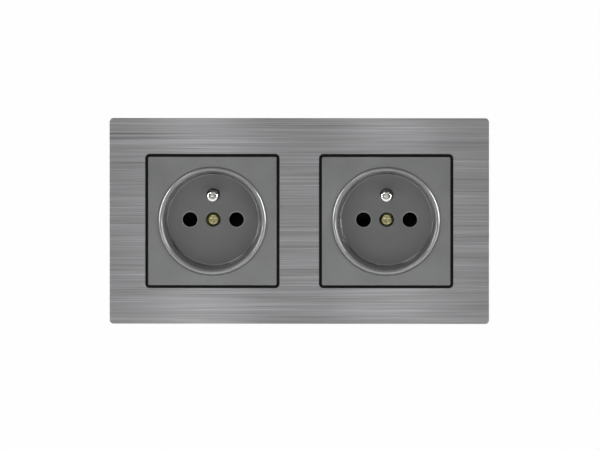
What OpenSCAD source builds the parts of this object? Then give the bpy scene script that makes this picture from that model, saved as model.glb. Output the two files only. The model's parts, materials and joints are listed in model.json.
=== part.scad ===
// Duplex wall outlet: two recessed earth-pin sockets side by side in one brushed-metal frame.
// Millimetres. X runs to the right, Z up and Y into the wall. The origin is on the wall surface,
// at the centre of the frame, so the frame stands at negative Y and the mechanisms at positive Y.

/* [Frame] */
// Distance between the centres of the two sockets
pitch = 71; // [71:0.5:80]
// Height of the frame; its width is this plus the pitch
frame_h = 84; // [82:0.5:95]
// How far the frame's front face stands off the wall
frame_depth = 9; // [8.8:0.1:12]
// Thickness of the metal panel
panel_t = 2; // [1:0.1:2.5]
// Radius of the frame's outer corners
corner_r = 1.5; // [0.8:0.1:4]
// Side of each square window in the panel
window = 54.9; // [54.5:0.1:56]
// Side of the square centre plate inside each window
plate_w = 52.4; // [52:0.1:52.4]

/* [Well] */
// Radius of the well at its mouth
mouth_r = 20.2; // [20:0.1:20.3]
// Radius of the well at its floor
floor_r = 18.9; // [18.6:0.1:19.2]
// Depth of the well from the plug's seating plane to the floor
well_depth = 15; // [14.5:0.1:15]
// Radius of each contact hole in the floor
contact_hole_r = 3; // [2.8:0.1:3.1]
// Distance between the centres of the two contact holes
contact_pitch = 19; // [19:0.1:19.4]
// Distance of the earth pin above the contact holes
earth_rise = 10; // [10:0.1:10.2]
// Radius of the earth pin
earth_pin_r = 2.4; // [2.38:0.01:2.42]

/* [Fixing] */
// Distance between the centres of the box-screw slots
box_pitch = 60; // [60:0.5:60.5]
// Width of each box-screw slot
slot_w = 4.4; // [4:0.1:5]
// Length of each box-screw slot, end to end
slot_l = 8; // [6:0.5:8.5]
// Swing of each spreading claw, in degrees, used to draw it away from rest
claw_swing = 0; // [0:1:22]

/* [Wiring] */
// Radius of each terminal's wire bore
wire_r = 2; // [1.6:0.1:2]
// Radius of the funnel-mouthed hole that leads each wire to its terminal
entry_r = 2.4; // [2.3:0.1:2.6]

/* [Hidden] */
$fn = 64;
SIDES = ["left", "right"];
SOCKET_NODES = [
    "centre_plate", "socket_well", "centre_screw", "shutter", "shutter_spring",
    "contact_cover", "earth_pin", "earth_strip", "live_contact", "neutral_contact",
    "live_terminal", "neutral_terminal", "earth_terminal", "live_terminal_screw",
    "neutral_terminal_screw", "earth_terminal_screw", "base", "yoke", "yoke_screws",
    "claw_pins", "upper_claw", "lower_claw", "upper_claw_screw", "lower_claw_screw"
];

// Depths along Y, from the front to the back
panel_y = -frame_depth;
web_y = panel_y + panel_t;
ledge_y = -5.4;
ledge_back_y = -4;
plate_y = panel_y - 0.6;
seat_y = panel_y - 1;
rim_y = seat_y - 0.3;
floor_y = seat_y + well_depth;
floor_back_y = floor_y + 2.5;
screw_seat_y = floor_y + 2.1;
cover_rim_y = floor_back_y + 0.1;
shutter_y = floor_back_y + 0.3;
shutter_back_y = shutter_y + 4.5;
cover_y = shutter_back_y + 0.3;
cover_back_y = cover_y + 1.5;
strip_y = cover_back_y + 0.1;
strip_back_y = strip_y + 1;
block_back_y = strip_back_y + 9;
chamber_y = 25.4;
base_back_y = 28.5;
yoke_t = 1.2;

// Frame
frame_w = pitch + frame_h;
carrier_inset = 0.5;
carrier_wall = 1.8;
lip_gap = 0.1;
window_r = 1.8;
lip_inner = plate_w + 0.4;
ledge_opening = 49;

// Well and shutter
well_outer_r = 21.5;
rim_outer_r = 22;
boss_r = 4.35;
hub_bore_r = 4.42;
lobe_angle = 20.5;
lobe_r = 13;
shutter_open = 36;
contact_x = contact_pitch / 2;

// Base
cavity_r = well_outer_r + 0.2;
collar_r = 23.4;
flange_r = 25.8;
flange_t = 2.2;
body_half = 21;
body_wall = 1.6;
body_corner_r = 27.5;

// Terminals: each block's centre across, the height of its wire bore and its clamping screw
block_half = 4;
block_h = 7;
block_edge = body_half - body_wall;
bore_z = block_edge - block_h + wire_r + 1;
terminal_x = 12.6;
clamp_y = (strip_back_y + block_back_y) / 2;
clamp_travel = 2.8;
clamp_r = 1.7;
tapped_r = 1.75;

// Claws
claw_z = 8.6;
claw_half = 3.4;
cheek_t = 1.1;
claw_pivot = [23.9, 2.2];
claw_pin_r = 0.9;
claw_screw_x = 26.9;
claw_screw_r = 1.5;
web_rise = 3.2;

/* Helpers */

// Extrudes a shape drawn in X and Z from depth y0 to depth y1
module slab(y0, y1) {
    translate([0, y1, 0]) rotate([90, 0, 0]) linear_extrude(y1 - y0) children();
}

// Turns a profile of (radius, depth) about the Y axis
module lathe() {
    rotate([-90, 0, 0]) rotate_extrude() children();
}

// Round rod along Y, tapering from r0 to r1 when both are given
module rod_y(r0, y0, y1, x = 0, z = 0, r1 = undef) {
    translate([x, y0, z]) rotate([-90, 0, 0]) cylinder(h = y1 - y0, r1 = r0, r2 = is_undef(r1) ? r0 : r1);
}

// Round rod along Z
module rod_z(r, z0, z1, x = 0, y = 0) {
    translate([x, y, z0]) cylinder(h = z1 - z0, r = r);
}

// Box between two corners
module block(low, high) {
    translate(low) cube(high - low);
}

// Rectangle with round corners
module rounded_rect(w, h, r) {
    square([w - 2 * r, h], center = true);
    square([w, h - 2 * r], center = true);
    for (x = [-1, 1]) for (z = [-1, 1]) translate([x * (w / 2 - r), z * (h / 2 - r)]) circle(r);
}

// Slot with round ends, along X
module slot(l, w) {
    square([l - w, w], center = true);
    for (x = [-1, 1]) translate([x * (l - w) / 2, 0]) circle(w / 2);
}

// Wedge of a circle about the X axis, spread degrees to each side
module sector(r, spread) {
    polygon([[0, 0], [r, -r * tan(spread)], [r, r * tan(spread)]]);
}

module at_sockets() {
    for (x = [-1, 1]) translate([x * pitch / 2, 0, 0]) children();
}

module at(side) {
    translate([(side == "left" ? -1 : 1) * pitch / 2, 0, 0]) children();
}

// The lower claw is the upper one turned half a turn about the socket's axis
module lower() {
    rotate([0, 180, 0]) children();
}

/* Frame */

module windows(side, r) {
    for (x = [-1, 1]) translate([x * pitch / 2, 0]) rounded_rect(side, side, r);
}

module cover_panel() color([0.56, 0.56, 0.57]) {
    slab(panel_y, web_y) difference() {
        rounded_rect(frame_w, frame_h, corner_r);
        windows(window, window_r);
    }
}

module carrier_ribs() {
    rib_t = 1.2;
    rib_front = ledge_y;
    rib_back = -1.5;
    half_h = frame_h / 2 - carrier_inset - 1;
    half_w = frame_w / 2 - carrier_inset - 1;
    near = 28;
    for (s = [-1, 1]) for (t = [-1, 1]) {
        at_sockets() block([s * 12 - rib_t / 2, rib_front, t > 0 ? near : -half_h],
                           [s * 12 + rib_t / 2, rib_back, t > 0 ? half_h : -near]);
        block([s > 0 ? pitch / 2 + near : -half_w, rib_front, t * 12 - rib_t / 2],
              [s > 0 ? half_w : -pitch / 2 - near, rib_back, t * 12 + rib_t / 2]);
    }
    for (z = [-12, 12]) {
        block([near - pitch / 2, rib_front, z - rib_t / 2], [pitch / 2 - near, rib_back, z + rib_t / 2]);
    }
}

module carrier_frame() color([0.06, 0.06, 0.065]) {
    w = frame_w - 2 * carrier_inset;
    h = frame_h - 2 * carrier_inset;
    r = corner_r - 0.3;
    lip = window - 2 * lip_gap;
    slab(web_y, ledge_y) difference() {
        rounded_rect(w, h, r);
        windows(lip_inner, 0.9);
    }
    slab(ledge_y, 0) difference() {
        rounded_rect(w, h, r);
        rounded_rect(w - 2 * carrier_wall, h - 2 * carrier_wall, 0.8);
    }
    slab(panel_y - 0.2, web_y) difference() {
        windows(lip, window_r - lip_gap);
        windows(lip_inner, 0.9);
    }
    slab(ledge_y, ledge_back_y) difference() {
        windows(lip + 3, 2);
        windows(ledge_opening, 1);
    }
    carrier_ribs();
}

/* Covers of one socket */

module centre_plate() color([0.36, 0.36, 0.365]) {
    skirt_y = plate_y + 2;
    slab(plate_y, plate_y + 0.7) difference() {
        rounded_rect(plate_w, plate_w, 0.6);
        circle(rim_outer_r + 0.35);
    }
    slab(plate_y + 0.7, skirt_y) difference() {
        rounded_rect(plate_w, plate_w, 0.6);
        circle(well_outer_r + 0.2);
    }
    slab(skirt_y, ledge_y) {
        difference() {
            rounded_rect(plate_w, plate_w, 0.6);
            rounded_rect(plate_w - 2.8, plate_w - 2.8, 0.5);
        }
    }
    slab(skirt_y, skirt_y + 1.8) difference() {
        circle(well_outer_r + 1.6);
        circle(well_outer_r + 0.2);
    }
}

module well_profile() {
    bead_r = 1;
    fillet = 0.8;
    difference() {
        union() {
            polygon([
                [0, floor_y], [floor_r - fillet, floor_y], [floor_r, floor_y - fillet],
                [mouth_r, seat_y + 0.3], [mouth_r + 0.3, seat_y], [rim_outer_r - bead_r, rim_y],
                [rim_outer_r - bead_r, rim_y + bead_r], [rim_outer_r, rim_y + bead_r],
                [rim_outer_r, plate_y + 0.7], [well_outer_r, plate_y + 0.7],
                [well_outer_r, floor_back_y - 0.6], [well_outer_r - 0.6, floor_back_y], [0, floor_back_y]
            ]);
            translate([rim_outer_r - bead_r, rim_y + bead_r]) circle(bead_r);
            translate([0, floor_back_y - 0.1]) square([boss_r, 1.1]);
        }
        translate([-10, rim_y]) square([10, 40]);
        translate([well_outer_r, plate_y + 0.7]) square([5, 5]);
    }
}

module socket_well() color([0.27, 0.27, 0.275]) {
    chamfer = 0.3;
    difference() {
        lathe() well_profile();
        for (s = [-1, 1]) {
            rod_y(contact_hole_r, floor_y - 1, floor_back_y + 1, s * contact_x);
            rod_y(contact_hole_r + chamfer + 1, floor_y - 1, floor_y + chamfer, s * contact_x,
                  r1 = contact_hole_r);
        }
        rod_y(earth_pin_r + 0.15, floor_y - 1, floor_back_y + 1, z = earth_rise);
        rod_y(2.95, floor_y - 1, screw_seat_y);
        rod_y(1.7, floor_y - 1, floor_back_y + 3);
    }
}

// Cross recess for a screw's head, cut from depth y downwards
module driver_recess(y, size, depth) {
    for (a = [0, 90]) rotate([0, a, 0]) {
        block([-size, y - 1, -size / 5], [size, y + depth, size / 5]);
    }
}

module centre_screw() color([0.72, 0.66, 0.36]) {
    head_y = screw_seat_y - 1.9;
    difference() {
        union() {
            rod_y(2.1, head_y, head_y + 0.5, r1 = 2.6);
            rod_y(2.6, head_y + 0.5, screw_seat_y);
            rod_y(1.5, screw_seat_y, strip_back_y + 1.8);
        }
        driver_recess(head_y, 1.5, 1.2);
    }
}

/* Shutter */

module shutter_lobe() {
    ramp_tilt = 33;
    difference() {
        union() {
            slab(shutter_y, shutter_back_y) intersection() {
                sector(lobe_r + 2, lobe_angle);
                difference() {
                    circle(lobe_r);
                    circle(7.2);
                }
            }
            slab(shutter_y, shutter_y + 2.8) intersection() {
                sector(lobe_r, lobe_angle);
                difference() {
                    circle(8);
                    circle(5.2);
                }
            }
        }
        translate([0, shutter_back_y - 0.6, contact_hole_r]) rotate([-ramp_tilt, 0, 0]) {
            block([6.4, -12, -12], [lobe_r + 1, 0, 12]);
        }
    }
}

module shutter() color([0.03, 0.03, 0.03]) {
    slab(shutter_y, shutter_y + 2.8) difference() {
        circle(6.6);
        circle(hub_bore_r);
    }
    slab(shutter_y + 2.8, shutter_back_y) difference() {
        circle(5.3);
        circle(hub_bore_r);
    }
    for (a = [0, 180]) rotate([0, a, 0]) shutter_lobe();
}

// Points of a ring of the spring's wire, square to the coil at angle a
function wire_ring(coil_r, wire_r, sides, a, y) = [
    for (i = [0 : sides - 1]) let (b = 360 * i / sides, r = coil_r + wire_r * cos(b))
        [r * cos(a), y + wire_r * sin(b), r * sin(a)]
];

module shutter_spring() color([0.75, 0.75, 0.77]) {
    coil_r = 6.05;
    wire = 0.2;
    turns = 2.5;
    sides = 6;
    steps = 40;
    lead = 0.45;
    start_y = shutter_y + 2.8 + 0.3;
    points = [
        for (k = [0 : steps]) let (a = 360 * turns * k / steps)
            each wire_ring(coil_r, wire, sides, a, start_y + lead * turns * k / steps)
    ];
    sides_of_wire = [
        for (k = [0 : steps - 1]) for (i = [0 : sides - 1]) let (j = (i + 1) % sides)
            [k * sides + i, k * sides + j, (k + 1) * sides + j, (k + 1) * sides + i]
    ];
    ends = [
        [for (i = [0 : sides - 1]) sides - 1 - i],
        [for (i = [0 : sides - 1]) steps * sides + i]
    ];
    polyhedron(points, concat(sides_of_wire, ends), convexity = 10);
}

/* Contacts and terminals */

module contact_cover() color([0.82, 0.82, 0.8]) {
    peg_r = 1;
    peg_at = 11.6;
    difference() {
        union() {
            slab(cover_y, cover_back_y) circle(17.3);
            slab(cover_rim_y, cover_y) difference() {
                circle(17.3);
                circle(15.8);
            }
            rod_y(boss_r, floor_back_y + 1.1, cover_y + 0.1);
            for (a = [lobe_angle + 6, -(shutter_open + lobe_angle + 6)]) for (half = [0, 180]) {
                rod_y(peg_r, cover_y - 3, cover_y + 0.1, peg_at * cos(a + half), peg_at * sin(a + half));
            }
        }
        rod_y(1.7, floor_y, cover_back_y + 1);
        for (s = [-1, 1]) rod_y(contact_hole_r - 0.35, cover_y - 1, cover_back_y + 1, s * contact_x);
        rod_y(earth_pin_r - 0.1, cover_y - 1, cover_back_y + 1, z = earth_rise);
    }
}

module earth_pin() color([0.8, 0.8, 0.8]) {
    tip_y = seat_y + 1;
    tip_r = 1.7;
    root_y = floor_y - 0.3;
    shank_r = earth_pin_r - 0.2;
    translate([0, 0, earth_rise]) lathe() difference() {
        union() {
            translate([0, tip_y + tip_r]) square([earth_pin_r, root_y - tip_y - tip_r]);
            translate([0, tip_y]) square([earth_pin_r - tip_r, tip_r + 0.1]);
            translate([earth_pin_r - tip_r, tip_y + tip_r]) circle(tip_r);
            translate([0, root_y]) square([shank_r, strip_y - root_y]);
            translate([0, strip_y]) square([1.5, strip_back_y - strip_y]);
            translate([0, strip_back_y]) square([shank_r, 0.7]);
        }
        translate([-10, tip_y - 1]) square([10, 40]);
        polygon([[-1, tip_y - 1], [0.9, tip_y - 0.7], [0, tip_y + 0.4], [-1, tip_y + 0.4]]);
    }
}

module earth_strip() color([0.78, 0.66, 0.38]) {
    leg_z = 22;
    difference() {
        union() {
            block([-3.4, strip_y, -4.2], [3.4, strip_back_y, leg_z + 1]);
            block([-3, yoke_t, leg_z], [3, strip_y + 0.1, leg_z + 1]);
            block([-3, 0, leg_z], [3, yoke_t, flange_r - 0.2]);
            rod_y(2.6, strip_back_y, strip_back_y + 1.4);
        }
        rod_y(1.55, strip_y - 1, strip_back_y + 3);
        rod_y(1.5, strip_y - 1, strip_back_y + 1, z = earth_rise);
    }
}

// Pillar block whose clamping screw points along Z towards the wire bore, drawn for a block on the top side
module terminal_block() color([0.8, 0.68, 0.36]) {
    difference() {
        block([-block_half, strip_back_y, block_edge - block_h], [block_half, block_back_y, block_edge]);
        rod_y(wire_r, strip_back_y - 1, block_back_y + 1, z = bore_z);
        rod_z(tapped_r, bore_z, block_edge + 1, y = clamp_y);
    }
}

module terminal_screw() color([0.77, 0.77, 0.78]) {
    head_z = block_edge + clamp_travel + 0.2;
    head_h = 2.2;
    difference() {
        union() {
            rod_z(clamp_r, bore_z + wire_r + 0.1, head_z, y = clamp_y);
            rod_z(2.9, head_z, head_z + head_h, y = clamp_y);
        }
        translate([0, clamp_y, head_z + head_h]) {
            cube([6, 0.9, 2.4], center = true);
            cube([0.9, 3.6, 2.4], center = true);
        }
    }
}

// Places a live-side or neutral-side part, drawn for the top, in its lower corner
module lower_corner(side) {
    translate([side * terminal_x, 0, 0]) mirror([0, 0, 1]) children();
}

// Spring contact on the +X side: a plate with a pin hole and two curved leaves that grip the pin
module pin_contact() color([0.8, 0.62, 0.34]) {
    leaf_r = earth_pin_r;
    leaf_t = 0.6;
    leaf_y = block_back_y + 0.6;
    translate([contact_x, 0, 0]) slab(strip_y, strip_back_y) difference() {
        square(7.2, center = true);
        circle(leaf_r + 0.3);
    }
    slab(strip_y, strip_back_y) translate([terminal_x - block_half + 0.2, -block_edge + 0.4]) {
        square([2 * block_half - 0.4, block_edge - 3.4]);
    }
    translate([contact_x, 0, 0]) for (a = [90, 270]) rotate([0, a, 0]) slab(strip_y, leaf_y) intersection() {
        difference() {
            circle(leaf_r + leaf_t);
            circle(leaf_r);
        }
        sector(leaf_r + 2, 62);
    }
}

/* Base and yoke */

module body_outline() {
    intersection() {
        square(2 * body_half, center = true);
        circle(body_corner_r);
    }
}

// The room that the claws, their lugs and pins need beside the base
module claw_room() {
    for (a = [0, 180]) rotate([0, a, 0]) block([claw_pivot.x - 1.8, -1, claw_z - claw_half - 2.2],
                                          [flange_r + 2, cover_back_y, claw_z + claw_half + 2]);
}

module base_bosses() {
    for (s = [-1, 1]) rod_y(3.2, 0, 9, s * 17.8, -s * 17.8);
}

module base_pockets() {
    deep = block_back_y + 0.2;
    front = cover_back_y - 0.1;
    for (s = [-1, 1]) {
        mirror([s < 0 ? 1 : 0, 0, 0]) {
            block([5.4, front, -block_edge], [17.2, strip_back_y + 0.2, 4.2]);
            block([5.4, front, -4.2], [13.6, chamber_y, 4.2]);
            block([terminal_x - block_half - 0.1, front, -block_edge],
                  [terminal_x + block_half + 0.1, deep, -8]);
            rod_y(entry_r, deep - 0.1, base_back_y + 1, terminal_x, -bore_z);
            rod_y(entry_r, base_back_y - 1.2, base_back_y + 0.1, terminal_x, -bore_z, r1 = entry_r + 1.3);
            rod_z(3.2, -body_half - 1, -block_edge + 0.1, terminal_x, clamp_y);
        }
    }
    block([-3.9, front, -4.8], [3.9, strip_back_y + 2.2, body_half + 1]);
    block([-block_half - 0.1, front, 11], [block_half + 0.1, deep, block_edge]);
    rod_y(entry_r, deep - 0.1, base_back_y + 1, z = bore_z);
    rod_y(entry_r, base_back_y - 1.2, base_back_y + 0.1, z = bore_z, r1 = entry_r + 1.3);
    rod_z(3.2, block_edge - 0.1, body_half + 1, y = clamp_y);
}

module base() color([0.13, 0.13, 0.135]) {
    difference() {
        union() {
            slab(0, flange_t) circle(flange_r);
            slab(0, 9) circle(collar_r);
            slab(8, base_back_y) body_outline();
            base_bosses();
        }
        rod_y(cavity_r, -1, floor_back_y + 0.2);
        rod_y(17.5, floor_y, cover_back_y);
        claw_room();
        block([-3.4, -1, 21.6], [3.4, cover_back_y + 3, flange_r + 1]);
        base_pockets();
        for (s = [-1, 1]) rod_y(1.5, -1, 8.2, s * 17.8, -s * 17.8);
    }
}

module yoke_outline() {
    side = 70.6;
    tab = 6;
    difference() {
        union() {
            rounded_rect(side, side, 2);
            for (z = [-24, 24]) translate([side / 2 - 1, z - tab / 2]) square([2.2, tab]);
        }
        for (z = [-24, 24]) translate([-side / 2 - 1, z - tab / 2 - 0.3]) square([2.7, tab + 0.6]);
        circle(cavity_r);
        for (place = [[-1, 0], [1, 0], [0, -1], [0, 1]])
            translate(place * box_pitch / 2) slot(slot_l, slot_w);
        for (a = [45, 135, 225, 315]) rotate(a) translate([36, 0]) circle(3);
    }
}

// Lugs on the yoke that carry one claw's hinge pin
module claw_lugs() {
    lug_r = 1.4;
    for (z = [claw_z - claw_half - 1.4, claw_z + claw_half + 0.2]) difference() {
        union() {
            block([claw_pivot.x - lug_r, -0.1, z], [claw_pivot.x + lug_r, claw_pivot.y, z + 1.2]);
            rod_z(lug_r, z, z + 1.2, claw_pivot.x, claw_pivot.y);
        }
        rod_z(claw_pin_r, z - 1, z + 3, claw_pivot.x, claw_pivot.y);
    }
}

module yoke() color([0.7, 0.71, 0.72]) {
    fold_h = 2.2;
    side = 70.6;
    slab(-yoke_t, 0) difference() {
        yoke_outline();
        for (s = [-1, 1]) {
            translate([s * 17.8, -s * 17.8]) circle(1.6);
            translate([s * claw_screw_x, s * claw_z]) circle(claw_screw_r + 0.2);
        }
    }
    for (s = [-1, 1]) {
        block([-9, -yoke_t - fold_h, s > 0 ? side / 2 - yoke_t : -side / 2],
              [9, -yoke_t + 0.1, s > 0 ? side / 2 : -side / 2 + yoke_t]);
    }
    for (a = [0, 180]) rotate([0, a, 0]) claw_lugs();
}

module yoke_screws() color([0.76, 0.76, 0.77]) {
    for (s = [-1, 1]) translate([s * 17.8, 0, -s * 17.8]) difference() {
        union() {
            rod_y(2, -yoke_t - 1.7, -yoke_t - 1.2, r1 = 2.6);
            rod_y(2.6, -yoke_t - 1.2, -yoke_t);
            rod_y(1.4, -yoke_t, 7.6);
        }
        driver_recess(-yoke_t - 1.7, 1.5, 1.1);
    }
}

/* Claws */

module claw_pins() color([0.75, 0.75, 0.76]) {
    for (a = [0, 180]) rotate([0, a, 0]) {
        rod_z(claw_pin_r, claw_z - claw_half - 1.6, claw_z + claw_half + 1.6, claw_pivot.x, claw_pivot.y);
    }
}

module claw_cheek() {
    x = claw_pivot.x;
    y = claw_pivot.y;
    difference() {
        union() {
            translate(claw_pivot) circle(1.5);
            polygon([
                [x - 1.2, y], [x + 1.5, y], [x + 1.5, y + 1.8], [x + 2.8, y + 3.6], [x + 2.8, y + 13],
                [x + 3.6, y + 13.8], [x + 2.9, y + 15.1], [x + 3.6, y + 15.9], [x + 2.9, y + 17.2],
                [x + 3.6, y + 18], [x + 2.8, y + 18.9], [x + 0.2, y + 18.9], [x - 1.2, y + 17]
            ]);
        }
        translate(claw_pivot) circle(claw_pin_r + 0.06);
    }
}

module upper_claw() color([0.72, 0.72, 0.73]) {
    pivot = [claw_pivot.x, claw_pivot.y, 0];
    web_t = 1;
    web_y0 = claw_pivot.y + web_rise - web_t / 2;
    translate(pivot) rotate([0, 0, -claw_swing]) translate(-pivot) {
        for (z = [claw_z - claw_half, claw_z + claw_half - cheek_t]) {
            translate([0, 0, z]) linear_extrude(cheek_t) claw_cheek();
        }
        difference() {
            block([claw_pivot.x - 1.2, web_y0, claw_z - claw_half + cheek_t - 0.1],
                  [claw_pivot.x + 4.2, web_y0 + web_t, claw_z + claw_half - cheek_t + 0.1]);
            block([claw_pivot.x - 0.3, web_y0 - 1, claw_z - 1.7],
                  [claw_pivot.x + 6, web_y0 + 3, claw_z + 1.7]);
        }
    }
}

module upper_claw_screw() color([0.78, 0.78, 0.79]) {
    head_y = -yoke_t - 2.1;
    translate([claw_screw_x, 0, claw_z]) difference() {
        union() {
            rod_y(2.1, head_y, head_y + 0.5, r1 = 2.6);
            rod_y(2.6, head_y + 0.5, -yoke_t - 0.1);
            rod_y(claw_screw_r, -yoke_t - 0.1, 17);
        }
        driver_recess(head_y, 1.6, 1.2);
    }
}

/* One socket's nodes */

module socket_node(name) {
    if (name == "centre_plate") centre_plate();
    if (name == "socket_well") socket_well();
    if (name == "centre_screw") centre_screw();
    if (name == "shutter") shutter();
    if (name == "shutter_spring") shutter_spring();
    if (name == "contact_cover") contact_cover();
    if (name == "earth_pin") earth_pin();
    if (name == "earth_strip") earth_strip();
    if (name == "live_contact") pin_contact();
    if (name == "neutral_contact") mirror([1, 0, 0]) pin_contact();
    if (name == "live_terminal") lower_corner(1) terminal_block();
    if (name == "neutral_terminal") lower_corner(-1) terminal_block();
    if (name == "earth_terminal") terminal_block();
    if (name == "live_terminal_screw") lower_corner(1) terminal_screw();
    if (name == "neutral_terminal_screw") lower_corner(-1) terminal_screw();
    if (name == "earth_terminal_screw") terminal_screw();
    if (name == "base") base();
    if (name == "yoke") yoke();
    if (name == "yoke_screws") yoke_screws();
    if (name == "claw_pins") claw_pins();
    if (name == "upper_claw") upper_claw();
    if (name == "lower_claw") lower() upper_claw();
    if (name == "upper_claw_screw") upper_claw_screw();
    if (name == "lower_claw_screw") lower() upper_claw_screw();
}

cover_panel();
carrier_frame();
for (side = SIDES) for (name = SOCKET_NODES) {
    at(side) socket_node(name);
}
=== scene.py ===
"""Looks for the duplex wall outlet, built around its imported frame.

Metres. X runs right, Z up, Y into the wall; the front faces -Y. The wall's surface is Y = 0.
"""

import json
import math

import bmesh
import bpy
from mathutils import Matrix, Vector

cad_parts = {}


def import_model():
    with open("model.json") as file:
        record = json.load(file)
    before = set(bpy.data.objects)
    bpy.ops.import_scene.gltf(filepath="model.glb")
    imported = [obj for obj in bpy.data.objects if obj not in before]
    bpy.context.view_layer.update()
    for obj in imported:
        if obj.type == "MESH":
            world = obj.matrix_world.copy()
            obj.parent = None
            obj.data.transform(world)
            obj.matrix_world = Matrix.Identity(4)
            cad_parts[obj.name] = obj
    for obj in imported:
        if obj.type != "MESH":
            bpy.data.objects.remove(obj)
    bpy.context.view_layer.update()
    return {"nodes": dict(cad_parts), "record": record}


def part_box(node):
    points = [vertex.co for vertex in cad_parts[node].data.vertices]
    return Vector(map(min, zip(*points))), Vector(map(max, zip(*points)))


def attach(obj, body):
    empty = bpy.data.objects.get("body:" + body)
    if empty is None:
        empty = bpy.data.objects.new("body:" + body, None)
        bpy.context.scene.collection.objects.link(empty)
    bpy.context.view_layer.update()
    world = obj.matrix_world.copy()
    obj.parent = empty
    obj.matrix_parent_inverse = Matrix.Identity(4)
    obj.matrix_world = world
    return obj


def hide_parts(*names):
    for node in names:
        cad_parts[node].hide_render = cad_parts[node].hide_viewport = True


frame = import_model()

MM = 0.001
SIDES = ("left", "right")


# ---------------------------------------------------------------- places, from the frame


def centre_of(node):
    """The middle of a node's box."""
    low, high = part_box(node)
    return (low + high) / 2


def socket_x(side):
    """X of a socket's axis: its well is round about it."""
    return centre_of(f"{side}_socket_well").x


# ---------------------------------------------------------------- materials


class Shader:
    """A node material in the making, with short calls for the nodes used here."""

    def __init__(self, name, **constants):
        self.material = bpy.data.materials.new(name)
        self.material.use_nodes = True
        self.tree = self.material.node_tree
        self.bsdf = self.tree.nodes["Principled BSDF"]
        for socket, value in constants.items():
            self.bsdf.inputs[socket.replace("_", " ")].default_value = value
        self.place = self.node("ShaderNodeTexCoord").outputs["Object"]

    def node(self, kind, **settings):
        made = self.tree.nodes.new(kind)
        for key, value in settings.items():
            setattr(made, key, value)
        return made

    def link(self, output, target):
        self.tree.links.new(output, target)

    def stretched(self, scale):
        """Object coordinates multiplied by scale, in cells per metre along each axis."""
        mapping = self.node("ShaderNodeMapping")
        mapping.inputs["Scale"].default_value = scale
        self.link(self.place, mapping.inputs["Vector"])
        return mapping.outputs["Vector"]

    def noise(self, scale, detail=3.0, roughness=0.55):
        """Cloudy noise, about 0.3 to 0.7 for most of a surface."""
        texture = self.node("ShaderNodeTexNoise")
        texture.inputs["Scale"].default_value = 1.0
        texture.inputs["Detail"].default_value = detail
        texture.inputs["Roughness"].default_value = roughness
        self.link(self.stretched(scale), texture.inputs["Vector"])
        return texture.outputs["Fac"]

    def spread(self, value, low, high, from_low=0.3, from_high=0.7):
        """Maps from_low-from_high, a noise's middle range unless given, to low-high, and stops there."""
        mapped = self.node("ShaderNodeMapRange")
        mapped.inputs["From Min"].default_value = from_low
        mapped.inputs["From Max"].default_value = from_high
        mapped.inputs["To Min"].default_value = low
        mapped.inputs["To Max"].default_value = high
        self.link(value, mapped.inputs["Value"])
        return mapped.outputs["Result"]

    def math(self, operation, a, b=0.0):
        """One Math node on numbers or outputs; an operation on one value takes no b."""
        made = self.node("ShaderNodeMath", operation=operation)
        for value, socket in ((a, made.inputs[0]), (b, made.inputs[1])):
            if isinstance(value, (int, float)):
                socket.default_value = value
            else:
                self.link(value, socket)
        return made.outputs[0]

    def blend(self, a, weight_a, b, weight_b):
        """The weighted sum of two outputs."""
        return self.math("ADD", self.math("MULTIPLY", a, weight_a), self.math("MULTIPLY", b, weight_b))

    def ramp(self, value, stops):
        """Colour from a value, through (position, (r, g, b)) stops."""
        ramp = self.node("ShaderNodeValToRGB").color_ramp
        made = self.tree.nodes[-1]
        while len(ramp.elements) < len(stops):
            ramp.elements.new(0.5)
        for element, (position, colour) in zip(ramp.elements, stops):
            element.position = position
            element.color = (*colour, 1)
        self.link(value, made.inputs["Fac"])
        return made.outputs["Color"]

    def colour(self, output):
        self.link(output, self.bsdf.inputs["Base Color"])

    def roughness(self, output):
        self.link(output, self.bsdf.inputs["Roughness"])

    def bump(self, height, strength, distance):
        """Adds a height texture to the surface; distance is how deep it is, in metres."""
        made = self.node("ShaderNodeBump")
        made.inputs["Strength"].default_value = strength
        made.inputs["Distance"].default_value = distance
        self.link(height, made.inputs["Height"])
        before = self.bsdf.inputs["Normal"].links
        if before:
            self.link(before[0].from_socket, made.inputs["Normal"])
        self.link(made.outputs["Normal"], self.bsdf.inputs["Normal"])


def shade(tone, tint=(1.0, 1.0, 1.0)):
    return tuple(tone * t for t in tint)


def brushed_panel():
    """Metal brushed sideways: streaks tens of millimetres long and a fraction of one wide."""
    cool = (0.985, 0.975, 1.0)
    tones = [(0.32, 0.29), (0.44, 0.44), (0.5, 0.49), (0.56, 0.535), (0.68, 0.7)]
    s = Shader("brushed_panel", Metallic=1.0, Anisotropic=1.0)
    fine = s.noise((15, 40, 4600), detail=2)
    medium = s.noise((18, 40, 2200), detail=2)
    broad = s.noise((12, 20, 240), detail=2)
    scratches = s.noise((22, 40, 2900), detail=1)
    dark_lines = s.spread(scratches, 0.0, 1.0, 0.64, 0.74)
    light_lines = s.spread(scratches, 1.0, 0.0, 0.27, 0.37)
    streaks = s.blend(fine, 0.35, medium, 0.65)
    both = s.blend(streaks, 0.8, broad, 0.2)
    lines = s.math("SUBTRACT", light_lines, dark_lines)
    lined = s.math("ADD", both, s.math("MULTIPLY", lines, 0.08))
    s.colour(s.ramp(lined, [(position, shade(tone, cool)) for position, tone in tones]))
    s.roughness(s.spread(streaks, 0.28, 0.36))
    s.bump(streaks, 0.4, 0.00003)
    tangent = s.node("ShaderNodeTangent", direction_type="RADIAL", axis="X")
    s.link(tangent.outputs["Tangent"], s.bsdf.inputs["Tangent"])
    return s.material


def clouds_and_grain(s):
    """The two noises of a moulded surface, broad and spark-eroded, and their mixture."""
    cloud = s.noise((60, 60, 60), detail=4)
    fine = s.noise((5200, 5200, 5200), detail=2)
    return cloud, fine, s.blend(cloud, 0.6, fine, 0.4)


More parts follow.
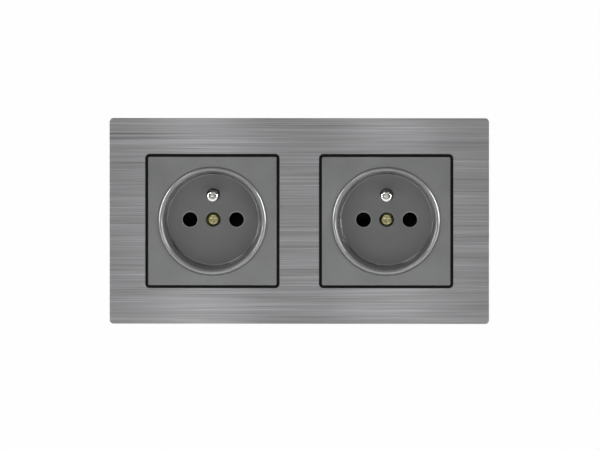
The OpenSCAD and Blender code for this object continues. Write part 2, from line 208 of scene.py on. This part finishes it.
def moulded(name, tone, tint=(1, 1, 1), roughness=(0.4, 0.5), grain=0.00001, **constants):
    """Injection-moulded plastic: even colour, slightly cloudy gloss and a fine spark-eroded grain."""
    s = Shader(name, **constants)
    cloud, fine, mixed = clouds_and_grain(s)
    s.colour(s.ramp(mixed, [(0.3, shade(tone * 0.93, tint)), (0.7, shade(tone * 1.07, tint))]))
    s.roughness(s.spread(cloud, *roughness))
    s.bump(fine, 0.4, grain)
    return s.material


# painted shade: the wall's colour as a fraction of the bead's and floor's, darker as if in shade
PAINTED_WALL_SHADE = 0.45
# metres: the Y over which the polished bead gives way to the wall's painted shade, and over which the
# polished floor and its painted highlight rings begin
BEAD_ENDS = (-0.0093, -0.0085)
FLOOR_BEGINS = (0.0044, 0.0048)
HIGHLIGHT_RINGS_BEGIN = (0.0046, 0.0049)
# metres: a contact hole's distance from its socket's axis, and the radii over which its painted highlight
# ring fades
HOLE_OFFSET = 0.0095
HIGHLIGHT_RING_EDGE = (0.0032, 0.0035)


def well_plastic():
    """The well's moulding: polished bead and floor, a matt wall painted darker as shade, and lighter rings
    round the contact holes painted as highlights.
    """
    s = Shader("grey_well", Metallic=0.45, Coat_Weight=0.9, Coat_Roughness=0.11, Coat_IOR=2.0)
    cloud, fine, mixed = clouds_and_grain(s)
    split = s.node("ShaderNodeSeparateXYZ")
    s.link(s.place, split.inputs[0])
    across, depth, height = split.outputs
    # painted shade: the wall between bead and floor is coloured darker than they are
    below_bead = s.spread(depth, 1.0, PAINTED_WALL_SHADE, *BEAD_ENDS)
    above_floor = s.spread(depth, PAINTED_WALL_SHADE, 1.0, *FLOOR_BEGINS)
    polish_and_wall_shade = s.math("MAXIMUM", below_bead, above_floor)
    # both sockets and both holes of each fold onto one hole's centre, for the painted highlight rings
    from_middle = s.math("ABSOLUTE", across)
    from_socket = s.math("ABSOLUTE", s.math("SUBTRACT", from_middle, socket_x("right")))
    from_hole = s.math("SUBTRACT", from_socket, HOLE_OFFSET)
    squared = s.math("ADD", s.math("MULTIPLY", from_hole, from_hole), s.math("MULTIPLY", height, height))
    radius = s.math("SQRT", squared)
    on_floor = s.spread(depth, 0.0, 1.0, *HIGHLIGHT_RINGS_BEGIN)
    # painted highlight: a lighter ring round each contact hole's eased edge, on the floor only
    painted_highlight_ring = s.math("MULTIPLY", s.spread(radius, 1.0, 0.0, *HIGHLIGHT_RING_EDGE), on_floor)
    # the tone is multiplied by the wall's painted shade
    tone = s.math("MULTIPLY", s.spread(mixed, 0.93, 1.07), polish_and_wall_shade)
    # the painted highlight rings lighten the tone
    tone = s.blend(tone, 0.4, painted_highlight_ring, 0.45)
    s.colour(s.ramp(tone, [(0.0, (0, 0, 0)), (1.0, shade(0.5, (0.99, 1.0, 1.0)))]))
    s.roughness(s.math("SUBTRACT", s.spread(cloud, 0.9, 0.95), s.math("MULTIPLY", polish_and_wall_shade, 0.5)))
    s.bump(fine, 0.4, 0.00001)
    return s.material


def metal(name, stops, roughness, scratches=(700, 700, 700), bump=0.000004):
    """Plated or bare metal whose colour drifts through stops, with light scratches."""
    s = Shader(name, Metallic=1.0)
    cloud = s.noise((240, 240, 240), detail=5, roughness=0.6)
    lines = s.noise(scratches, detail=4)
    s.colour(s.ramp(cloud, stops))
    s.roughness(s.spread(s.blend(cloud, 0.5, lines, 0.5), *roughness))
    s.bump(lines, 0.5, bump)
    return s.material


MATERIALS = {
    "brushed_panel": brushed_panel(),
    "black_plastic": moulded("black_plastic", 0.004, roughness=(0.35, 0.45), Specular_IOR_Level=0.12),
    "grey_plate": moulded("grey_plate", 0.325, (0.99, 1.0, 1.0), (0.30, 0.36), Metallic=0.85),
    "grey_well": well_plastic(),
    "pale_plastic": moulded("pale_plastic", 0.7, (1.0, 0.985, 0.93), (0.45, 0.6)),
    "base_plastic": moulded("base_plastic", 0.035, (1.0, 1.0, 1.03), (0.5, 0.62), grain=0.00002),
    "yellow_zinc": metal(
        "yellow_zinc", [(0.3, (0.55, 0.52, 0.22)), (0.5, (0.72, 0.69, 0.36)), (0.7, (0.62, 0.57, 0.34))],
        (0.2, 0.34)),
    "zinc_steel": metal(
        "zinc_steel", [(0.3, (0.56, 0.58, 0.60)), (0.7, (0.76, 0.77, 0.78))], (0.22, 0.4)),
    "yoke_steel": metal(
        "yoke_steel", [(0.3, (0.50, 0.52, 0.54)), (0.7, (0.68, 0.69, 0.71))], (0.28, 0.46),
        scratches=(90, 900, 900)),
    "spring_steel": metal(
        "spring_steel", [(0.3, (0.50, 0.51, 0.52)), (0.7, (0.66, 0.67, 0.68))], (0.2, 0.3)),
    "nickel_brass": metal(
        "nickel_brass", [(0.3, (0.82, 0.80, 0.76)), (0.7, (0.90, 0.89, 0.86))], (0.10, 0.18),
        scratches=(500, 3000, 500), bump=0.000002),
    "brass": metal(
        "brass", [(0.3, (0.72, 0.52, 0.22)), (0.7, (0.84, 0.66, 0.33))], (0.22, 0.36)),
    "contact_bronze": metal(
        "contact_bronze", [(0.3, (0.74, 0.47, 0.26)), (0.7, (0.86, 0.61, 0.38))], (0.22, 0.34)),
}
SLOT_OF = {part["node"]: part["material_slot"] for part in frame["record"]["subparts"]}


def dress(obj, node):
    """Gives a piece or a carried-over node the material of the node's slot."""
    obj.data.materials.clear()
    obj.data.materials.append(MATERIALS[SLOT_OF[node]])


# ---------------------------------------------------------------- meshes


def rounded(corners, steps=5):
    """Points of an outline whose corners are (a, b), or (a, b, radius) where an arc rounds them."""
    points = []
    for i, corner in enumerate(corners):
        here = Vector(corner[:2])
        if len(corner) == 2:
            points.append(here)
            continue
        before = (Vector(corners[i - 1][:2]) - here).normalized()
        after = (Vector(corners[(i + 1) % len(corners)][:2]) - here).normalized()
        half = before.angle(after) / 2
        sweep = math.pi - 2 * half
        centre = here + (before + after).normalized() * corner[2] / math.sin(half)
        start = here + before * corner[2] / math.tan(half) - centre
        end = here + after * corner[2] / math.tan(half) - centre
        for k in range(steps + 1):
            a, b = math.sin((1 - k / steps) * sweep), math.sin(k / steps * sweep)
            points.append(centre + (start * a + end * b) / math.sin(sweep))
    return points


def ring(bm, radius, y, x=0.0, z=0.0, count=128):
    """A closed loop of vertices about an axis along Y, in millimetres."""
    angles = [2 * math.pi * k / count for k in range(count)]
    return [bm.verts.new((x + radius * math.cos(a), y, z + radius * math.sin(a))) for a in angles]


def skin(bm, loops):
    """Quads from each loop to the next."""
    for one, two in zip(loops, loops[1:]):
        for i in range(len(one)):
            bm.faces.new((one[i - 1], one[i], two[i], two[i - 1]))


def fan(bm, loop, tip):
    """Triangles from a loop to one point."""
    vertex = bm.verts.new(tip)
    for i in range(len(loop)):
        bm.faces.new((loop[i - 1], loop[i], vertex))


def cap(bm, loops):
    """Fills a flat outline, leaving the loops inside it open."""
    edges = []
    for loop in loops:
        for i in range(len(loop)):
            edges.append(bm.edges.get((loop[i - 1], loop[i])) or bm.edges.new((loop[i - 1], loop[i])))
    bmesh.ops.triangle_fill(bm, use_beauty=True, use_dissolve=False, edges=edges)


def turned(bm, profile, count):
    """Turns (radius, y) points about the Y axis; the first and last lie on it."""
    loops = [ring(bm, radius, y, count=count) for radius, y in profile[1:-1]]
    skin(bm, loops)
    fan(bm, loops[0], (0, profile[0][1], 0))
    fan(bm, loops[-1], (0, profile[-1][1], 0))


def body_of(node):
    """The body that carries a node."""
    bodies = frame["record"]["behaviour"]["bodies"]
    return next(body for body, nodes in bodies.items() if node in nodes)


def piece(node, bm, place=(0, 0, 0)):
    """Makes a millimetre mesh, moved to a place in metres, into the look of one CAD node."""
    bmesh.ops.recalc_face_normals(bm, faces=bm.faces)
    bmesh.ops.transform(bm, matrix=Matrix.Translation(place) @ Matrix.Scale(MM, 4), verts=bm.verts)
    mesh = bpy.data.meshes.new(f"{node}_look")
    bm.to_mesh(mesh)
    bm.free()
    mesh.shade_smooth()
    obj = bpy.data.objects.new(f"{node}_look", mesh)
    bpy.context.scene.collection.objects.link(obj)
    shading = obj.modifiers.new("shading", "WEIGHTED_NORMAL")
    shading.weight = 60
    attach(obj, body_of(node))
    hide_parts(node)
    dress(obj, node)
    return obj


# ---------------------------------------------------------------- pieces that replace CAD nodes

# the well in millimetres: depths from its rim, then its holes' places, radii and eased edges
WELL_DEPTH = 15.3
WELL_BACK = 17.8
CONTACT_X = HOLE_OFFSET / MM
CONTACT_R = 3.0
EARTH_Z = 10
EARTH_HOLE_R = 2.55
HOLE_EASE = 0.3


def socket_well(side):
    """The dished insert: a rounded bead at the mouth, a filleted floor and eased hole edges."""
    node = f"{side}_socket_well"
    low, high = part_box(node)
    rim = low.y / MM
    floor, back, boss = rim + WELL_DEPTH, rim + WELL_BACK, high.y / MM
    bead_outer, wall_outer = (high.x - low.x) / 2 / MM, 21.5
    inside = 10  # any radius inside the fillets: it only gives their direction and is dropped
    bm = bmesh.new()
    # from the floor, up the wall, over the bead and down the outside to the back
    outline = rounded([
        (inside, floor), (18.9, floor, 0.6), (20.15, rim + 0.9, 0.5), (20.75, rim, 0.55),
        (bead_outer, rim, 0.95), (bead_outer, rim + 1.3), (wall_outer, rim + 1.45), (wall_outer, back, 0.6),
        (inside, back),
    ], steps=8)[1:-1]
    loops = [ring(bm, radius, y) for radius, y in outline]
    skin(bm, loops)
    floor_holes, back_holes = [loops[0]], [loops[-1]]
    for x, z, radius in ((-CONTACT_X, 0, CONTACT_R), (CONTACT_X, 0, CONTACT_R), (0, EARTH_Z, EARTH_HOLE_R)):
        edge = rounded([(radius + 1, floor), (radius, floor, HOLE_EASE), (radius, floor + 1)], steps=6)[1:-1]
        bore = [ring(bm, r, y, x, z, 64) for r, y in edge]
        bore.append(ring(bm, radius, back, x, z, 64))
        skin(bm, bore)
        floor_holes.append(bore[0])
        back_holes.append(bore[-1])
    # the screw's counterbore, and its through hole down the boss on the back
    seat_y, seat_r, through_r, boss_r = floor + 2.1, 2.95, 1.7, 4.35
    seat = [ring(bm, r, y, count=64) for r, y in (
        (3.2, floor), (3.03, floor + 0.06), (seat_r, floor + 0.2), (seat_r, seat_y), (through_r, seat_y),
        (through_r, boss), (boss_r - 0.2, boss), (boss_r, boss - 0.2), (boss_r, back))]
    skin(bm, seat)
    cap(bm, floor_holes + [seat[0]])
    cap(bm, back_holes + [seat[-1]])
    piece(node, bm, (socket_x(side), 0, 0))


def earth_pin(side):
    """Turned pin: rounded tip with the lathe's centre mark, necked where it enters the floor."""
    node = f"{side}_earth_pin"
    low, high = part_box(node)
    tip, tail = low.y / MM, high.y / MM
    pin, shank, groove = 2.4, 2.2, 1.5
    groove_start, groove_end = tip + 23.2, tip + 24.2
    bm = bmesh.new()
    turned(bm, rounded([
        (0, tip + 0.75), (0.5, tip, 0.1), (pin, tip, 1.25), (pin, tip + 13.7, 0.1),
        (shank, tip + 13.9), (shank, groove_start, 0.1), (groove, groove_start), (groove, groove_end),
        (shank, groove_end, 0.15), (shank, tail, 0.35), (0, tail),
    ], steps=7), count=64)
    piece(node, bm, (socket_x(side), 0, centre_of(node).z))


def shutter_spring(side):
    """Smooth coil of round wire on the shutter's hub, its ends tapered over a few steps."""
    node = f"{side}_shutter_spring"
    low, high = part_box(node)
    wire, turns, steps, sides = 0.2, 2.5, 150, 12
    end_steps, end_size = 3, 0.3
    radius = (high.x - low.x) / 2 / MM - wire
    start, end = low.y / MM + wire, high.y / MM - wire
    bm = bmesh.new()
    loops = []
    for k in range(steps + 1):
        angle = 2 * math.pi * turns * k / steps
        to_go = max(0.0, 1 - min(k, steps - k) / end_steps)
        taper = max(end_size, math.sqrt(1 - to_go ** 2))
        loop = []
        for i in range(sides):
            b = 2 * math.pi * i / sides
            r = radius + wire * taper * math.cos(b)
            y = start + (end - start) * k / steps + wire * taper * math.sin(b)
            loop.append(bm.verts.new((r * math.cos(angle), y, r * math.sin(angle))))
        loops.append(loop)
    skin(bm, loops)
    for loop in (loops[0], loops[-1]):
        centre = sum((v.co for v in loop), Vector()) / len(loop)
        fan(bm, loop, centre)
    piece(node, bm, (socket_x(side), 0, centre_of(node).z))


SCREW_SIDES = 48


def thread(bm, radius, start, end, pitch, depth):
    """Loops of a threaded shank along Y: the radius follows a rounded wave that winds round the axis."""
    rows_per_turn = 8
    rows = max(2, round((end - start) / pitch * rows_per_turn))
    loops = []
    for row in range(rows + 1):
        y = start + (end - start) * row / rows
        fade = min(1.0, (y - start) / pitch, (end - y) / pitch)
        loop = []
        for k in range(SCREW_SIDES):
            a = 2 * math.pi * k / SCREW_SIDES
            wave = (1 + math.cos(2 * math.pi * y / pitch - a)) / 2
            r = radius - depth * fade * wave
            loop.append(bm.verts.new((r * math.cos(a), y, r * math.sin(a))))
        loops.append(loop)
    return loops


def recessed(obj, across, upright, depth):
    """Cuts a driver recess of two crossed slots, each (half length, half width), and gives the mesh."""
    (across_l, across_w), (upright_l, upright_w) = across, upright
    quarter = [(across_l, across_w), (upright_w, across_w), (upright_w, upright_l)]
    outline = quarter + [(-x, z) for x, z in reversed(quarter)]
    outline += [(-x, -z) for x, z in outline]
    bm = bmesh.new()
    loops = [[bm.verts.new((x, y, z)) for x, z in outline] for y in (-1, depth)]
    skin(bm, loops)
    for loop in loops:
        bm.faces.new(loop)
    bmesh.ops.recalc_face_normals(bm, faces=bm.faces)
    mesh = bpy.data.meshes.new("cutter")
    bm.to_mesh(mesh)
    bm.free()
    cutter = bpy.data.objects.new("cutter", mesh)
    bpy.context.scene.collection.objects.link(cutter)
    cut = obj.modifiers.new("recess", "BOOLEAN")
    cut.operation = "DIFFERENCE"
    cut.object = cutter
    cut.solver = "FAST"
    bpy.context.view_layer.update()
    whole = bpy.data.meshes.new_from_object(obj.evaluated_get(bpy.context.evaluated_depsgraph_get()))
    bpy.data.objects.remove(cutter)
    bpy.data.objects.remove(obj)
    return whole


def screw_mesh(head_r, head_h, shank_r, length, pitch, recess):
    """A screw along +Y in millimetres: coned head with its flat top at 0, rolled thread, driver recess."""
    bm = bmesh.new()
    thread_start, thread_end, thread_depth = head_h + 0.3, length - 0.4, pitch * 0.4
    head = rounded([
        (0, 0), (head_r * 0.76, 0, 0.3), (head_r * 0.8, 0.4, 0.1), (head_r, 1.25, 0.1),
        (head_r, head_h, 0.12), (shank_r, head_h, 0.08), (shank_r, thread_start),
    ])[1:-1]
    loops = [ring(bm, radius, y, count=SCREW_SIDES) for radius, y in head]
    loops += thread(bm, shank_r, thread_start, thread_end, pitch, thread_depth)
    loops.append(ring(bm, shank_r * 0.75, length, count=SCREW_SIDES))
    skin(bm, loops)
    fan(bm, loops[0], (0, 0, 0))
    fan(bm, loops[-1], (0, length, 0))
    bmesh.ops.recalc_face_normals(bm, faces=bm.faces)
    mesh = bpy.data.meshes.new("screw")
    bm.to_mesh(mesh)
    bm.free()
    obj = bpy.data.objects.new("screw", mesh)
    bpy.context.scene.collection.objects.link(obj)
    return recessed(obj, *recess)


def screws(node, mesh, places):
    """A node of one or more screws, each (place of its head's top, way that it points)."""
    bm = bmesh.new()
    for place, way in places:
        known = len(bm.verts)
        bm.from_mesh(mesh)
        bm.verts.ensure_lookup_table()
        turn = Vector((0, 1, 0)).rotation_difference(Vector(way)).to_matrix().to_4x4()
        bmesh.ops.transform(bm, matrix=Matrix.Translation(place / MM) @ turn, verts=bm.verts[known:])
    obj = piece(node, bm)
    # the bevel goes ahead of the shading modifier that piece() adds
    edges = obj.modifiers.new("edges", "BEVEL")
    edges.width = 0.06 * MM
    edges.segments = 2
    edges.limit_method = "ANGLE"
    edges.angle_limit = math.radians(50)
    obj.modifiers.move(1, 0)


# driver recesses in millimetres: the two slots' (half length, half width), and the depth
CROSS = ((1.4, 0.28), (1.4, 0.28), 1.0)
SLOT_AND_CROSS = ((4, 0.35), (1.5, 0.3), 0.9)
WIDE_SLOT_AND_CROSS = ((4, 0.45), (1.8, 0.45), 1.1)


def screws_of(side):
    """Every screw of one socket, in the size and place of its CAD node."""
    forward, up, down = (0, 1, 0), (0, 0, 1), (0, 0, -1)
    head_r = 2.6
    node = f"{side}_centre_screw"
    low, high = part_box(node)
    middle = centre_of(node)
    screws(node, screw_mesh(head_r, 1.9, 1.5, (high.y - low.y) / MM, 0.5, CROSS),
           [(Vector((middle.x, low.y, middle.z)), forward)])
    node = f"{side}_yoke_screws"
    low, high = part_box(node)
    screws(node, screw_mesh(head_r, 1.7, 1.4, (high.y - low.y) / MM, 0.5, CROSS),
           [(Vector((low.x + head_r * MM, low.y, high.z - head_r * MM)), forward),
            (Vector((high.x - head_r * MM, low.y, low.z + head_r * MM)), forward)])
    for name in ("upper_claw_screw", "lower_claw_screw"):
        node = f"{side}_{name}"
        low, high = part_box(node)
        middle = centre_of(node)
        screws(node, screw_mesh(head_r, 2.0, 1.5, (high.y - low.y) / MM, 0.5, SLOT_AND_CROSS),
               [(Vector((middle.x, low.y, middle.z)), forward)])
    for name, way in (("live", up), ("neutral", up), ("earth", down)):
        node = f"{side}_{name}_terminal_screw"
        low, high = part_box(node)
        middle = centre_of(node)
        screws(node, screw_mesh(2.9, 2.2, 1.7, (high.z - low.z) / MM, 0.6, WIDE_SLOT_AND_CROSS),
               [(Vector((middle.x, middle.y, low.z if way == up else high.z)), way)])


# ---------------------------------------------------------------- carried-over CAD nodes

# millimetres, by a word in the node's name; the first word that fits counts
BEVELS = {
    "cover_panel": 0.35, "carrier_frame": 0.22, "centre_plate": 0.16, "base": 0.35, "yoke": 0.12,
    "claw": 0.15, "shutter": 0.2, "contact_cover": 0.2, "contact": 0.08, "terminal": 0.25, "strip": 0.12,
}
OTHER_BEVEL = 0.1


def soften(obj, width):
    """Rounds a carried-over node's sharp edges, without touching its mesh."""
    weld = obj.modifiers.new("weld", "WELD")
    weld.merge_threshold = 0.000002
    bevel = obj.modifiers.new("edges", "BEVEL")
    bevel.width = width * MM
    bevel.segments = 3
    bevel.limit_method = "ANGLE"
    bevel.angle_limit = math.radians(28)
    bevel.use_clamp_overlap = True
    shading = obj.modifiers.new("shading", "WEIGHTED_NORMAL")
    shading.weight = 60
    shading.keep_sharp = False


for side in SIDES:
    socket_well(side)
    earth_pin(side)
    shutter_spring(side)
    screws_of(side)

for name, obj in frame["nodes"].items():
    dress(obj, name)
    soften(obj, next((width for word, width in BEVELS.items() if word in name), OTHER_BEVEL))


# ---------------------------------------------------------------- stage, lights and camera


def world():
    """White behind the object, and a dimmer even light from all round."""
    ambient, backdrop = 0.03, 1.0
    made = bpy.data.worlds.new("studio")
    bpy.context.scene.world = made
    made.use_nodes = True
    tree = made.node_tree
    background = tree.nodes["Background"]
    light = tree.nodes.new("ShaderNodeLightPath")
    mix = tree.nodes.new("ShaderNodeMix")
    mix.data_type = "FLOAT"
    mix.inputs[2].default_value = ambient
    mix.inputs[3].default_value = backdrop
    tree.links.new(light.outputs["Is Camera Ray"], mix.inputs[0])
    tree.links.new(mix.outputs[0], background.inputs["Strength"])
    background.inputs["Color"].default_value = (0.99, 0.99, 0.99, 1)


def softbox(name, place, size, power, aim=(0, 0, 0)):
    """A rectangular lamp that the camera doesn't see: size in metres, power in watts."""
    data = bpy.data.lights.new(name, "AREA")
    data.shape = "RECTANGLE"
    data.size, data.size_y = size
    data.energy = power
    lamp = bpy.data.objects.new(name, data)
    bpy.context.scene.collection.objects.link(lamp)
    lamp.location = place
    lamp.rotation_euler = (Vector(aim) - Vector(place)).to_track_quat("-Z", "Y").to_euler()
    lamp.visible_camera = False


def floor():
    """A round pale floor well below the object."""
    mesh = bpy.data.meshes.new("floor")
    bm = bmesh.new()
    bmesh.ops.create_circle(bm, cap_ends=True, segments=96, radius=0.9)
    bm.to_mesh(mesh)
    bm.free()
    made = bpy.data.objects.new("floor", mesh)
    bpy.context.scene.collection.objects.link(made)
    made.location.z = -0.15
    s = Shader("floor_paint", Roughness=0.8)
    s.colour(s.ramp(s.noise((6, 6, 6)), [(0.3, shade(0.86)), (0.7, shade(0.88))]))
    mesh.materials.append(s.material)


def camera():
    """A long lens, almost level and almost square on, as in the reference view."""
    data = bpy.data.cameras.new("camera")
    data.sensor_width = 36
    data.lens = 1000
    made = bpy.data.objects.new("camera", data)
    bpy.context.scene.collection.objects.link(made)
    bpy.context.scene.camera = made
    azimuth, elevation = math.radians(1.2), math.radians(2.5)
    view_width = 0.2451
    distance = view_width / 2 / (data.sensor_width / 2 / data.lens)
    back = Vector((math.sin(azimuth) * math.cos(elevation), -math.cos(azimuth) * math.cos(elevation),
                   math.sin(elevation)))
    aim = Vector((0.0003, -0.009, -0.0016))
    made.location = aim + back * distance
    made.rotation_mode = "QUATERNION"
    made.rotation_quaternion = (-back).to_track_quat("-Z", "Y")
    data.clip_start, data.clip_end = 0.1, 30


world()
floor()
softbox("front_fill", (-0.35, -1.6, 0.1), (1.8, 1.6), 0.9)
softbox("front_high", (0, -1.1, 0.6), (0.6, 0.3), 0.45)
for place_x in (-0.047, 0.033):
    # a close upright strip for each of the panel's two brighter patches
    softbox("band", (place_x, -0.25, 0.03), (0.035, 0.45), 0.016, aim=(place_x, 0, 0))
softbox("left_strip", (-0.9, -0.3, 0.26), (0.16, 0.6), 8)
softbox("right_strip", (0.9, -0.3, 0.22), (0.16, 0.6), 10)
softbox("left_card", (-0.6, -0.9, 0.9), (0.5, 0.4), 3.2)
softbox("right_card", (0.6, -0.9, 0.9), (0.5, 0.4), 1.0)
softbox("behind_left", (-0.9, 0.9, 0.6), (0.7, 0.7), 10)
softbox("behind_right", (0.9, 0.8, 0.4), (0.7, 0.7), 7)
camera()
bpy.context.scene.view_settings.view_transform = "Standard"
